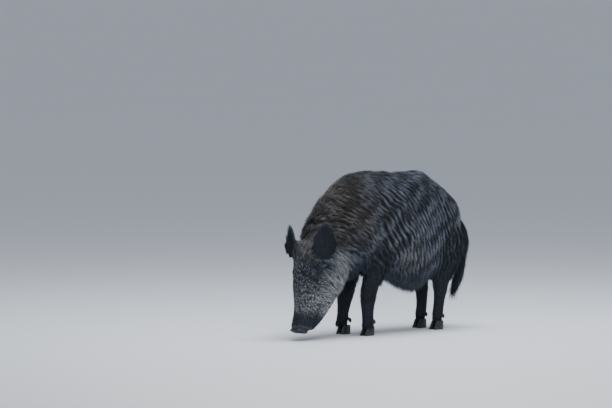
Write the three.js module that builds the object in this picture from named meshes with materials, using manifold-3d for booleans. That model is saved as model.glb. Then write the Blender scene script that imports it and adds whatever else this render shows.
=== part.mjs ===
// A wild boar standing with its snout just over the ground, at life size.
// Millimetres, +Z up. It faces -Y, its left side is +X, and its soles stand at Z 0.
// The flesh reaches out to the tips of the coat, and is parted with thin gaps.

import * as THREE from 'three';
import { mergeVertices } from 'three/addons/utils/BufferGeometryUtils.js';
import Module from 'manifold-3d';

const wasm = await Module();
wasm.setup();

// ---------------------------------------------------------------- driving dimensions

const GAP = 0.35;

const SHOULDER_HEIGHT = 812;
const CROUP_HEIGHT = 802;
const BACK_DIP = 798;
const BELLY_HEIGHT = 258;
const GROIN_HEIGHT = 216;
const CHEST_HEIGHT = 292;
const TRUNK_HALF_WIDTH = 168;
const NECK_HALF_WIDTH = 118;
const STANCE_LENGTH = 507;
const RUMP_REACH = STANCE_LENGTH + 162;
const NECK_CUT = 20;
const RUMP_CUT = 400;

const SNOUT_CENTRE = new THREE.Vector3(44, -436, 43);
const HEAD_PITCH = THREE.MathUtils.degToRad(77);
const HEAD_YAW = THREE.MathUtils.degToRad(8);
const HEAD_LENGTH = 468;
const SNOUT_HALF_WIDTH = 46;
const SNOUT_DEPTH = 22;
const NOSTRIL_RADIUS = 8;
const MOUTH_CORNER = 165;
const MOUTH_DROP = -32;
const MOUTH_SLOPE = THREE.MathUtils.degToRad(-7);
const JAW_REACH = 120;

const EYE_RADIUS = 12;
const EYE_PLACE = new THREE.Vector3(56.8, 285.6, 24.4);

const EAR_LENGTH = 190;
const EAR_HALF_WIDTH = 63;
const EAR_THICKNESS = 14;
const EAR_PLACE = { left: new THREE.Vector3(88, 345, 6), right: new THREE.Vector3(38, 333, 6) };
const EAR_SPLAY = { left: THREE.MathUtils.degToRad(7), right: THREE.MathUtils.degToRad(22) };
const EAR_LAY = THREE.MathUtils.degToRad(78);
const EAR_OPEN = { left: THREE.MathUtils.degToRad(38), right: THREE.MathUtils.degToRad(31) };
const EAR_CUP_RADIUS = 50;
const EAR_STALK = 0.07;

const TAIL_THICKNESS = 40;
const TUFT_THICKNESS = 80;
const TUFT_TOP = 430;

const KNEE_HEIGHT = 178;
const HOCK_HEIGHT = 205;

const HOOF_HEIGHT = 44;
const HOOF_LENGTH = 66;
const HOOF_WIDTH = 29;
const HOOF_CLEFT = 4;
const HOOF_SETBACK = -6;
const HOOF_SLOPE = 12;
const DEWCLAW_LENGTH = 28;
const DEWCLAW_WIDTH = 19;
const DEWCLAW_TOP = 82;
const DEWCLAW_SETBACK = 22;
const DEWCLAW_SLOPE = 9;

// ---------------------------------------------------------------- materials

const finish = (color, roughness) => new THREE.MeshStandardMaterial({ color, roughness, metalness: 0 });
const MATERIALS = {
  coat: finish(0x30363d, 0.6),
  darkCoat: finish(0x15191d, 0.6),
  bareSkin: finish(0x27292b, 0.45),
  horn: finish(0x1d1a18, 0.4),
  eye: finish(0x140d09, 0.1),
};

// ---------------------------------------------------------------- solids

// Numbers that change smoothly along a part, from rows that start with their place on it.
function profile(rows) {
  const places = rows.map((row) => row[0]);
  const values = rows.flatMap((row) => row.slice(1));
  const spline = new THREE.CubicInterpolant(places, values, rows[0].length - 1);
  return (place) => [...spline.evaluate(place)];
}

// A closed mesh as a solid. The triangles that a pole closes to a line are left out.
function solid(geometry) {
  const bare = geometry.clone();
  bare.deleteAttribute('normal');
  bare.deleteAttribute('uv');
  const merged = mergeVertices(bare, 1e-3);
  const corners = [...merged.index.array];
  const kept = corners.filter((_, i) => {
    const [a, b, c] = corners.slice(i - (i % 3), i - (i % 3) + 3);
    return a !== b && b !== c && c !== a;
  });
  return new wasm.Manifold(new wasm.Mesh({
    numProp: 3,
    vertProperties: Float32Array.from(merged.attributes.position.array),
    triVerts: Uint32Array.from(kept),
  }));
}

// A closed skin from one end (along 0) to the other (along 1). The point at each place and
// angle is given for the left side: side -1 mirrors it, and then a matrix places it.
function loft(pointAt, rows, columns, side = 1, matrix = new THREE.Matrix4()) {
  const geometry = new THREE.SphereGeometry(1, columns, rows);
  const position = geometry.attributes.position;
  for (let row = 0; row <= rows; row += 1) {
    for (let column = 0; column <= columns; column += 1) {
      const angle = (side * 2 * Math.PI * (column % columns)) / columns;
      const point = pointAt(row / rows, angle);
      position.setXYZ(row * (columns + 1) + column, side * point.x, point.y, point.z);
    }
  }
  return solid(geometry.applyMatrix4(matrix));
}

// A block between two corners, turned and placed by a matrix.
function block(low, high, matrix = new THREE.Matrix4()) {
  const size = high.map((value, i) => value - low[i]);
  const centre = high.map((value, i) => (value + low[i]) / 2);
  return solid(new THREE.BoxGeometry(...size).translate(...centre).applyMatrix4(matrix));
}

function meshOf(name, manifold, material) {
  const { vertProperties, triVerts } = manifold.getMesh();
  const geometry = new THREE.BufferGeometry();
  geometry.setAttribute('position', new THREE.Float32BufferAttribute(vertProperties, 3));
  geometry.setIndex([...triVerts]);
  geometry.computeVertexNormals();
  const mesh = new THREE.Mesh(geometry, material);
  mesh.name = name;
  return mesh;
}

const signedPower = (value, power) => Math.sign(value) * Math.abs(value) ** power;

// One turn of a section, -1 to 1 both ways: an ellipse at square 2, boxier above it. It
// narrows upwards by the share `taper`.
function section(angle, square, taper) {
  const up = signedPower(Math.sin(angle), 2 / square);
  return [signedPower(Math.cos(angle), 2 / square) * (1 - taper * up), up];
}

// How far a rounded end has opened, when it takes the share `length` of the part to open.
function roundEnd(along, length) {
  return along >= length ? 1 : Math.sqrt(1 - (1 - along / length) ** 2);
}

// ---------------------------------------------------------------- trunk and neck

// Along the body: back line y, z; belly line y, z; half width; narrowing of the back.
const bodyAt = profile([
  [0.00, RUMP_REACH + 4, 590, RUMP_REACH + 2, 545, 66, 0.05],
  [0.05, RUMP_REACH - 10, 655, RUMP_REACH - 22, 450, 100, 0.08],
  [0.12, STANCE_LENGTH + 90, 706, STANCE_LENGTH + 78, 350, 130, 0.12],
  [0.22, STANCE_LENGTH, 766, STANCE_LENGTH, 268, 148, 0.16],
  [0.33, 400, CROUP_HEIGHT, 390, GROIN_HEIGHT, 162, 0.16],
  [0.47, 245, BACK_DIP, 250, BELLY_HEIGHT, TRUNK_HALF_WIDTH, 0.15],
  [0.58, 134, SHOULDER_HEIGHT, 140, CHEST_HEIGHT, 162, 0.22],
  [0.68, 20, SHOULDER_HEIGHT - 1, 30, CHEST_HEIGHT + 14, 150, 0.28],
  [0.77, -88, SHOULDER_HEIGHT - 20, -48, CHEST_HEIGHT - 4, 140, 0.28],
  [0.86, -196, 720, -108, CHEST_HEIGHT - 12, NECK_HALF_WIDTH + 12, 0.26],
  [0.93, -290, 619, -186, CHEST_HEIGHT + 18, NECK_HALF_WIDTH, 0.22],
  [1.00, -388, 510, -290, CHEST_HEIGHT + 80, 104, 0.16],
]);

function bodyPoint(along, angle) {
  const [backY, backZ, bellyY, bellyZ, half, taper] = bodyAt(along);
  const open = roundEnd(along, 0.05) * roundEnd(1 - along, 0.05);
  const [across, up] = section(angle, 2.1, taper);
  const height = (1 + open * up) / 2;
  return new THREE.Vector3(
    -half * open * across,
    THREE.MathUtils.lerp(bellyY, backY, height),
    THREE.MathUtils.lerp(bellyZ, backZ, height),
  );
}

// ---------------------------------------------------------------- head

// In the head's own frame the snout is at the origin, +Y runs back and +Z is the forehead.
const headMatrix = new THREE.Matrix4()
  .makeTranslation(SNOUT_CENTRE.x, SNOUT_CENTRE.y, SNOUT_CENTRE.z)
  .multiply(new THREE.Matrix4().makeRotationZ(HEAD_YAW))
  .multiply(new THREE.Matrix4().makeRotationX(HEAD_PITCH));

// Back along the head: low line, high line, half width, squareness, narrowing upwards.
const headAt = profile([
  [0, -58, 38, SNOUT_HALF_WIDTH + 2, 2.4, 0.05],
  [25, -80, 40, SNOUT_HALF_WIDTH + 4, 2.4, 0.1],
  [70, -122, 33, 62, 2.3, 0.15],
  [128, -158, 34, 76, 2.3, 0.2],
  [202, -196, 53, 92, 2.3, 0.22],
  [272, -238, 70, 108, 2.2, 0.24],
  [342, -248, 80, 120, 2.1, 0.24],
  [412, -214, 86, 118, 2.1, 0.22],
  [HEAD_LENGTH, -160, 76, 100, 2.1, 0.2],
]);

function headPoint(along, angle, grow = 0) {
  const place = HEAD_LENGTH * along;
  const [low, high, half, square, taper] = headAt(place);
  const open = roundEnd(along, 0.035) * roundEnd(1 - along, 0.12);
  const [across, up] = section(angle, square, taper);
  return new THREE.Vector3(
    (half + grow) * open * across,
    place + grow * (2 * along - 1),
    (high + low) / 2 + ((high - low) / 2 + grow) * open * up,
  );
}

// The snout is a bare flat plug, a little wider than the muzzle, with two nostrils.
function snoutPoint(along, angle, grow = 0) {
  const open = (roundEnd(along, 0.5) * roundEnd(1 - along, 0.5)) ** 0.6;
  const [across, up] = section(angle, 2.3, -0.05);
  return new THREE.Vector3(
    (SNOUT_HALF_WIDTH + grow) * open * across,
    SNOUT_DEPTH * (along - 0.4) + grow * (2 * along - 1),
    (SNOUT_HALF_WIDTH - 5 + grow) * open * up,
  );
}

function nostril(side) {
  const shape = new THREE.CylinderGeometry(NOSTRIL_RADIUS, NOSTRIL_RADIUS, SNOUT_DEPTH / 2, 12);
  shape.scale(0.8, 1, 1.2);
  shape.translate(side * 0.42 * SNOUT_HALF_WIDTH, -0.4 * SNOUT_DEPTH, 2);
  return solid(shape.applyMatrix4(headMatrix));
}

function lowerJawBlock(grow) {
  const low = [-JAW_REACH, SNOUT_DEPTH - grow, MOUTH_DROP - JAW_REACH];
  const high = [JAW_REACH, MOUTH_CORNER + grow, MOUTH_DROP + grow];
  return block(low, high, headMatrix.clone().multiply(new THREE.Matrix4().makeRotationX(MOUTH_SLOPE)));
}

function eyeball(side, grow = 0) {
  const ball = new THREE.SphereGeometry(EYE_RADIUS + grow, 12, 8);
  ball.translate(side * EYE_PLACE.x, EYE_PLACE.y, EYE_PLACE.z);
  return solid(ball.applyMatrix4(headMatrix));
}

// An ear is a cupped leaf on a stalk. Its own +Z runs to the tip and its hollow faces -Y.
const earMatrix = (name) => new THREE.Matrix4().makeTranslation(...EAR_PLACE[name])
  .multiply(new THREE.Matrix4().makeRotationZ(-EAR_SPLAY[name]))
  .multiply(new THREE.Matrix4().makeRotationX(-EAR_LAY))
  .multiply(new THREE.Matrix4().makeRotationZ(EAR_OPEN[name]));

function earPoint(name, along, angle, grow = 0) {
  const leaf = Math.sin(Math.PI * (EAR_STALK + (1 - EAR_STALK) * along)) ** 0.8;
  const open = roundEnd(along, 0.06) * roundEnd(1 - along, 0.12);
  const across = (EAR_HALF_WIDTH * leaf + grow) * open * Math.cos(angle);
  const thick = (EAR_THICKNESS / 2 + grow) * open * Math.sin(angle);
  const cup = across ** 2 / (2 * EAR_CUP_RADIUS);
  return new THREE.Vector3(across, -thick - cup, EAR_LENGTH * along).applyMatrix4(earMatrix(name));
}

// ---------------------------------------------------------------- legs

// Down each leg: height, x, front y, rear y, half width, with y from the foot's place.
const FRONT_LEG = profile([
  [0.00, 600, 78, 30, 110, 32],
  [0.14, 500, 88, -34, 160, 46],
  [0.30, 395, 112, -48, 136, 55],
  [0.42, 325, 106, -44, 104, 48],
  [0.52, 265, 93, -42, 78, 40],
  [0.62, 215, 84, -49, 63, 38],
  [0.71, 165, 79, -43, 47, 33],
  [0.80, 110, 77, -31, 35, 28],
  [0.90, 62, 77, -29, 33, 28],
  [1.00, 22, 77, -34, 26, 29],
]);
const HIND_LEG = profile([
  [0.00, 640, 62, -30, 90, 38],
  [0.14, 560, 74, -76, 122, 52],
  [0.28, 465, 101, -100, 136, 64],
  [0.41, 380, 98, -94, 128, 57],
  [0.52, 315, 90, -74, 110, 48],
  [0.61, 262, 81, -44, 88, 40],
  [0.70, 212, 74, -22, 72, 33],
  [0.78, 165, 70, -14, 58, 28],
  [0.86, 115, 68, -16, 46, 26],
  [0.93, 66, 69, -24, 36, 28],
  [1.00, 22, 70, -30, 26, 29],
]);

// Where each leg hangs from and where its foot stands: out from the middle, and along Y.
const STANCE = {
  front: {
    left: { top: [77, 0], foot: [77, 8] },
    right: { top: [58, 32], foot: [75, -6] },
  },
  hind: {
    left: { top: [70, STANCE_LENGTH], foot: [70, STANCE_LENGTH] },
    right: { top: [70, STANCE_LENGTH], foot: [60, STANCE_LENGTH + 14] },
  },
};
const LEGS = ['left', 'right'].flatMap((name) => {
  const side = name === 'left' ? 1 : -1;
  const front = { name: `front_leg_${name}`, shape: FRONT_LEG, joint: KNEE_HEIGHT, ...STANCE.front[name] };
  const hind = { name: `hind_leg_${name}`, shape: HIND_LEG, joint: HOCK_HEIGHT, ...STANCE.hind[name] };
  return [{ ...front, side }, { ...hind, side }];
});

// The leg hangs from its place on the trunk, and its lower half is set over its own foot.
function legPoint(leg, along, angle, grow = 0) {
  const [height, x, front, rear, half] = leg.shape(along);
  const open = roundEnd(along, 0.08) * roundEnd(1 - along, 0.06);
  const reach = THREE.MathUtils.smoothstep(along, 0.4, 1);
  const swing = leg.foot.map((value, i) => (value - leg.top[i]) * reach);
  const [across, back] = section(angle, 2.2, 0);
  return new THREE.Vector3(
    x + swing[0] + (half + grow) * open * across,
    leg.top[1] + swing[1] + (rear + front) / 2 + ((rear - front) / 2 + grow) * open * back,
    height + grow * (1 - 2 * along),
  );
}

// A main hoof: a flat sole, a toe that slopes back as it rises, and a high heel.
function hoof(leg, inner, grow = 0) {
  const rows = [[1, 0], [1, 0.72], [0.45, 0.9], [0, 1], [0, 0]];
  const [footX, footY] = leg.foot;
  const lean = (inner ? -1 : 1) * (HOOF_WIDTH + HOOF_CLEFT) / 2;
  return loft((along, angle) => {
    const [rise, size] = rows[Math.round(along * (rows.length - 1))];
    const toe = 0.62 + 0.38 * (1 - Math.sin(angle)) / 2;
    const across = (HOOF_WIDTH / 2 + grow) * size * Math.cos(angle) * toe ** -0.3;
    const length = (HOOF_LENGTH / 2 + grow) * size * Math.sin(angle);
    return new THREE.Vector3(
      footX + lean + across * (0.75 + 0.25 * Math.sin(angle)),
      footY + HOOF_SETBACK + HOOF_SLOPE * rise + length,
      rise * HOOF_HEIGHT + (rise > 0 ? grow : -grow),
    );
  }, rows.length - 1, 10, leg.side);
}

// A dewclaw: a small blunt cone behind the pastern that points down and back.
function dewclaw(leg, inner, grow = 0) {
  const [footX, footY] = leg.foot;
  const lean = (inner ? -1 : 1) * DEWCLAW_WIDTH * 0.9;
  return loft((along, angle) => {
    const open = roundEnd(along, 0.3) * roundEnd(1 - along, 0.5);
    const radius = (DEWCLAW_WIDTH / 2 + grow) * open;
    return new THREE.Vector3(
      footX + lean + radius * Math.cos(angle),
      footY + DEWCLAW_SETBACK + DEWCLAW_SLOPE * along + radius * Math.sin(angle),
      DEWCLAW_TOP - DEWCLAW_LENGTH * along + grow * (1 - 2 * along),
    );
  }, 4, 8, leg.side);
}

// ---------------------------------------------------------------- tail

const tailLine = new THREE.CatmullRomCurve3([
  new THREE.Vector3(0, RUMP_REACH - 40, 600),
  new THREE.Vector3(8, RUMP_REACH + 20, 556),
  new THREE.Vector3(20, RUMP_REACH + 66, 440),
  new THREE.Vector3(28, RUMP_REACH + 52, 310),
  new THREE.Vector3(30, RUMP_REACH - 4, 178),
]);

function tailPoint(along, angle, grow = 0) {
  const place = tailLine.getPoint(along);
  const run = tailLine.getTangent(along);
  const wide = new THREE.Vector3(1, 0, 0).addScaledVector(run, -run.x).normalize();
  const deep = wide.clone().cross(run);
  const spread = THREE.MathUtils.smoothstep(along, 0.22, 0.5);
  const thick = THREE.MathUtils.lerp(TAIL_THICKNESS, TUFT_THICKNESS, spread);
  const radius = (thick / 2 + grow) * roundEnd(along, 0.05) * roundEnd(1 - along, 0.6);
  place.addScaledVector(wide, radius * Math.cos(angle));
  return place.addScaledVector(deep, radius * Math.sin(angle));
}

// ---------------------------------------------------------------- assembly

const boar = new THREE.Group();
const add = (name, manifold, material) => boar.add(meshOf(name, manifold, material));

const EVERYWHERE = 2000;
const before = (y) => block([-EVERYWHERE, -EVERYWHERE, -EVERYWHERE], [EVERYWHERE, y, EVERYWHERE]);
const behind = (y) => block([-EVERYWHERE, y, -EVERYWHERE], [EVERYWHERE, EVERYWHERE, EVERYWHERE]);
const above = (z) => block([-EVERYWHERE, -EVERYWHERE, z], [EVERYWHERE, EVERYWHERE, EVERYWHERE]);
const below = (z) => block([-EVERYWHERE, -EVERYWHERE, -EVERYWHERE], [EVERYWHERE, EVERYWHERE, z]);

const skull = (grow) => loft((along, angle) => headPoint(along, angle, grow), 20, 24, 1, headMatrix);
let head = skull(0);
let body = loft(bodyPoint, 26, 26).subtract(skull(GAP));

for (const side of [1, -1]) {
  const name = side > 0 ? 'left' : 'right';
  const ear = (grow) => loft((along, angle) => earPoint(name, along, angle, grow), 9, 12, side, headMatrix);
  add(`ear_${name}`, ear(0), MATERIALS.darkCoat);
  add(`eye_${name}`, eyeball(side), MATERIALS.eye);
  head = head.subtract(ear(GAP)).subtract(eyeball(side, GAP));
  body = body.subtract(ear(GAP));
}

const snout = (grow) => loft((along, angle) => snoutPoint(along, angle, grow), 6, 18, 1, headMatrix);
head = head.subtract(snout(GAP));
add('snout', snout(0).subtract(nostril(1)).subtract(nostril(-1)), MATERIALS.bareSkin);
add('lower_jaw', head.intersect(lowerJawBlock(0)), MATERIALS.coat);
add('head', head.subtract(lowerJawBlock(GAP)), MATERIALS.coat);

for (const leg of LEGS) {
  const flesh = (grow) => loft((along, angle) => legPoint(leg, along, angle, grow), 16, 12, leg.side);
  let limb = flesh(0);
  for (const inner of [true, false]) {
    const place = inner ? 'inner' : 'outer';
    add(`hoof_${leg.name}_${place}`, hoof(leg, inner), MATERIALS.horn);
    add(`dewclaw_${leg.name}_${place}`, dewclaw(leg, inner), MATERIALS.horn);
    limb = limb.subtract(hoof(leg, inner, GAP)).subtract(dewclaw(leg, inner, GAP));
  }
  add(`${leg.name}_upper`, limb.intersect(above(leg.joint + GAP)), MATERIALS.coat);
  add(`${leg.name}_lower`, limb.intersect(below(leg.joint)), MATERIALS.darkCoat);
  body = body.subtract(flesh(GAP));
}

const tail = loft(tailPoint, 12, 10);
body = body.subtract(loft((along, angle) => tailPoint(along, angle, GAP), 12, 10));
add('tail', tail.intersect(above(TUFT_TOP + GAP)), MATERIALS.coat);
add('tail_tuft', tail.intersect(below(TUFT_TOP)), MATERIALS.darkCoat);

add('neck', body.intersect(before(NECK_CUT)), MATERIALS.coat);
add('trunk', body.intersect(behind(NECK_CUT + GAP)).intersect(before(RUMP_CUT)), MATERIALS.coat);
add('rump', body.intersect(behind(RUMP_CUT + GAP)), MATERIALS.coat);

// The origin is on the floor, under the middle of the whole animal.
const middle = new THREE.Box3().setFromObject(boar).getCenter(new THREE.Vector3());
boar.position.set(-middle.x, -middle.y, 0);

export default boar;
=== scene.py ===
"""A wild boar in its wet winter coat: one skin, a coat of solid bristle locks, eyes and hooves."""

import math

import bmesh
import bpy
import numpy as np
from bpy.props import FloatProperty, FloatVectorProperty, IntProperty, PointerProperty
from mathutils import Matrix, Vector
from mathutils.bvhtree import BVHTree


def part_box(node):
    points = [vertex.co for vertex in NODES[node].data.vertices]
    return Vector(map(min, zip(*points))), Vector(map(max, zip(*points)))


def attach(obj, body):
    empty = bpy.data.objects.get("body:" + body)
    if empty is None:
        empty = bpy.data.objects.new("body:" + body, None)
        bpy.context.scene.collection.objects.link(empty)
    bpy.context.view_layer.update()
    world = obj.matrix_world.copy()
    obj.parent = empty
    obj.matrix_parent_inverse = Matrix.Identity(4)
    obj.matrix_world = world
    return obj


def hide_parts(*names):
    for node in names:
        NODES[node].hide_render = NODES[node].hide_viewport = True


bl_info = {
    "name": "Wild Boar",
    "version": (1, 0, 0),
    "blender": (4, 5, 0),
    "location": "View3D > Sidebar > Boar",
    "description": "Skin, coat, eyes and hooves of a life-size wild boar",
    "category": "Object",
}

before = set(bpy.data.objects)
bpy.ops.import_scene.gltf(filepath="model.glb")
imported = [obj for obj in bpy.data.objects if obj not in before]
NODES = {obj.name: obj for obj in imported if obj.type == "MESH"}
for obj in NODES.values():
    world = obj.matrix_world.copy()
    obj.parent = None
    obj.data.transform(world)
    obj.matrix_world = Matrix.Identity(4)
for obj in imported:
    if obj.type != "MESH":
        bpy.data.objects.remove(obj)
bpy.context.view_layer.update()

# ---- the animal's own frame

SIDES = {"left": 1, "right": -1}
HORN_NODES = [name for name in NODES if name.startswith(("hoof", "dewclaw"))]
EYE_NODES = ["eye_left", "eye_right"]
FLESH_NODES = sorted(set(NODES) - set(HORN_NODES) - set(EYE_NODES))
EAR_NODES = ["ear_left", "ear_right"]

HEAD_PITCH = math.radians(77)
HEAD_YAW = math.radians(8)
EYE_RADIUS = 0.012
NAPE_PAD = (0.070, 0.056, 0.058)
SKIN_STEPS = 5
NAPE_ROUNDS = 140
REGION_ROUNDS = 14
REGION_REACH = 0.012


def middle(node):
    low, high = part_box(node)
    return np.array([(a + b) / 2 for a, b in zip(low, high)])


HEAD_TURN = np.array(Matrix.Rotation(HEAD_YAW, 3, "Z") @ Matrix.Rotation(HEAD_PITCH, 3, "X"))
SNOUT = middle("snout") - HEAD_TURN @ np.array([0.0, 0.0022, 0.0])
GAZE_LENGTH = 1.051
GAZES = {side: HEAD_TURN @ (np.array([sign, -0.12, 0.30]) / GAZE_LENGTH) for side, sign in SIDES.items()}
EYES = {side: middle(f"eye_{side}") for side in SIDES}
NAPE = SNOUT + HEAD_TURN @ np.array([0.0, 0.476, -0.034])


def in_head(points):
    """Places in the head's frame: x to its left, y back from the snout, z towards the forehead."""
    return (points - SNOUT) @ HEAD_TURN


def ramp(value, low, high):
    t = np.clip((value - low) / (high - low), 0.0, 1.0)
    return t * t * (3 - 2 * t)


def bell(offset, width):
    return np.exp(-((offset / width) ** 2))


def bump_at(offset, size):
    return np.exp(-np.sum((offset / np.asarray(size)) ** 2, axis=1))


def total(weights, *names):
    return sum(weights[name] for name in names)


def unit(vectors):
    return vectors / np.maximum(np.linalg.norm(vectors, axis=-1, keepdims=True), 1e-9)


def ripple(points, size, seed):
    """A smooth uneven value from -1 to 1 with bumps about `size` across."""
    rng = np.random.default_rng(seed)
    total = np.zeros(len(points))
    for share in (1.0, 0.6, 0.4):
        for _ in range(3):
            wave = unit(rng.normal(size=3)) * 2 * math.pi / (size * share * rng.uniform(0.8, 1.3))
            total += share * np.sin(points @ wave + rng.uniform(0, 2 * math.pi))
    return total / 3.2


# ---- mesh helpers


def new_object(name, mesh):
    old = bpy.data.objects.get(name)
    if old is not None:
        bpy.data.objects.remove(old)
    piece = bpy.data.objects.new(name, mesh)
    bpy.context.collection.objects.link(piece)
    return piece


def merged_nodes(names):
    """A bmesh of CAD nodes with their loose triangles joined up."""
    bm = bmesh.new()
    for name in names:
        bm.from_mesh(NODES[name].data)
    bmesh.ops.remove_doubles(bm, verts=bm.verts, dist=1e-5)
    return bm


def read(items, field, width, kind=np.float32):
    flat = np.empty(len(items) * width, kind)
    items.foreach_get(field, flat)
    return flat.reshape(-1, width)


def mesh_of(bm, name):
    mesh = bpy.data.meshes.new(name)
    bm.to_mesh(mesh)
    bm.free()
    return mesh


def points_of(mesh):
    return read(mesh.vertices, "co", 3).astype(float)


def write_points(mesh, points):
    mesh.vertices.foreach_set("co", points.astype(np.float32).ravel())
    mesh.update()


def write_value(mesh, name, values):
    layer = mesh.attributes.new(name, "FLOAT", "POINT")
    layer.data.foreach_set("value", np.asarray(values, np.float32))


def shade_smooth(mesh):
    mesh.polygons.foreach_set("use_smooth", np.ones(len(mesh.polygons), bool))


class Web:
    """A mesh's points with their neighbours and triangles, for smoothing and for normals."""

    def __init__(self, mesh):
        self.points = points_of(mesh)
        self.ends = read(mesh.edges, "vertices", 2, np.int32)
        mesh.calc_loop_triangles()
        self.triangles = read(mesh.loop_triangles, "vertices", 3, np.int32)
        count = len(self.points)
        self.degree = np.bincount(self.ends.ravel(), minlength=count).clip(1)

    def neighbours(self, values):
        count = len(values)
        a, b = self.ends.T
        columns = values.reshape(count, -1).T
        sums = [np.bincount(a, v[b], count) + np.bincount(b, v[a], count) for v in columns]
        return (np.array(sums) / self.degree).T.reshape(values.shape)

    def smooth(self, values, rounds, share=0.5):
        for _ in range(rounds):
            part = share if np.isscalar(share) else share.reshape((-1,) + (1,) * (values.ndim - 1))
            values = values + part * (self.neighbours(values) - values)
        return values

    def normals(self):
        a, b, c = (self.points[self.triangles[:, i]] for i in range(3))
        faces = np.cross(b - a, c - a)
        total = [np.bincount(self.triangles.ravel(), np.repeat(f, 3), len(self.points)) for f in faces.T]
        return unit(np.array(total).T)


# ---- skin

REGIONS = ("head", "ear", "neck", "trunk", "rump", "tail", "tuft", "upper", "lower")


def region_of(node):
    if node in ("head", "lower_jaw", "snout") or node in EYE_NODES:
        return "head"
    if node in EAR_NODES:
        return "ear"
    if node == "tail_tuft":
        return "tuft"
    if node.endswith(("_upper", "_lower")):
        return node.rsplit("_", 1)[1]
    return "lower" if node in HORN_NODES else node


def region_weights(web):
    """How much of each region lies at each point: the nearest node's, softened at the borders."""
    nearest = np.full(len(web.points), np.inf)
    label = np.zeros(len(web.points), int)
    for node in FLESH_NODES + EYE_NODES + HORN_NODES:
        bm = merged_nodes([node])
        tree = BVHTree.FromBMesh(bm)
        bm.free()
        low, high = (np.array(corner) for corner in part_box(node))
        inside = np.all((web.points > low - REGION_REACH) & (web.points < high + REGION_REACH), axis=1)
        for i in np.flatnonzero(inside):
            gap = tree.find_nearest(web.points[i], REGION_REACH)[3]
            if gap is not None and gap < nearest[i]:
                nearest[i], label[i] = gap, REGIONS.index(region_of(node))
    soft = web.smooth(np.eye(len(REGIONS))[label], REGION_ROUNDS)
    return dict(zip(REGIONS, soft.T))


def coat_depth(points, weights):
    """How far the skin lies under the tips of the coat."""
    _, back, up = in_head(points).T
    cheek = ramp(back, 0.16, 0.30) * ramp(-up, -0.01, 0.09)
    brow = ramp(back, 0.24, 0.36)
    head = 0.0012 + 0.0028 * ramp(back, 0.03, 0.12) + 0.014 * cheek + 0.005 * brow
    height = points[:, 2]
    depth = {
        "head": head,
        "ear": 0.0018,
        "neck": 0.018,
        "trunk": 0.016 + 0.003 * ramp(height, 0.66, 0.79),
        "rump": 0.014,
        "tail": 0.005,
        "tuft": 0.005,
        "upper": 0.004 + 0.008 * ramp(height, 0.2, 0.4),
        "lower": 0.0004 + 0.0026 * ramp(height, 0.06, 0.18),
    }
    return sum(weights[name] * depth[name] for name in REGIONS)


def thin_tail(web, weights):
    """Draws the tail in to its dock, round its own middle line, since most of it is hair."""
    hair = np.clip(total(weights, "tail", "tuft"), 0, 1)
    inner = hair > 0.5
    heights = web.points[inner, 2]
    steps = np.linspace(heights.min(), heights.max(), 24)
    place = np.clip(np.searchsorted(steps, heights), 1, len(steps) - 1)
    count = np.bincount(place, minlength=len(steps)).clip(1)
    line = [np.bincount(place, web.points[inner, axis], len(steps))[1:] / count[1:] for axis in (0, 1)]
    centre = np.column_stack([np.interp(web.points[:, 2], steps[1:], values) for values in line])
    keep = 0.74 - 0.30 * ramp(-web.points[:, 2], -0.46, -0.36)
    keep = 1 - (1 - keep) * hair * ramp(-web.points[:, 2], -0.60, -0.54)
    web.points[:, :2] = centre + (web.points[:, :2] - centre) * keep[:, None]


def set_lids(points, side):
    """Wraps two lids over the eyeball and opens a slit between them."""
    eye = EYES[side]
    out = GAZES[side]
    along = unit(np.cross(out, HEAD_TURN @ np.array([0.0, 0.35, 1.0])))
    across = np.cross(along, out)
    reach = points - eye
    distance = np.linalg.norm(reach, axis=1)
    u, v, w = reach @ along, reach @ across, reach @ out
    near = (distance < 0.034) & (w > -0.004)
    slit = np.hypot(u / 0.0108, v / (0.0048 * np.sqrt(np.clip(1 - (u / 0.0125) ** 2, 0.05, 1))))
    open_share = ramp(-slit, -1.12, -0.86)
    lid = EYE_RADIUS + 0.0016 + 0.0012 * bell(slit - 1.25, 0.22)
    lid -= 0.0010 * bell(slit - 1.75, 0.2)
    shell = lid * (1 - open_share) + (EYE_RADIUS - 0.0022) * open_share
    hold = near * ramp(-np.hypot(u / 0.021, v / 0.016), -1.0, -0.55)
    target = eye + unit(reach) * shell[:, None]
    return points + (target - points) * hold[:, None]


def mouth_line(local):
    """How near a place is to the line between the lips, and which way it lies from it."""
    _, back, up = local.T
    above = up + 0.032 + 0.12 * (back - 0.02)
    return above, ramp(back, 0.014, 0.026) * ramp(-back, -0.165, -0.135)


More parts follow.
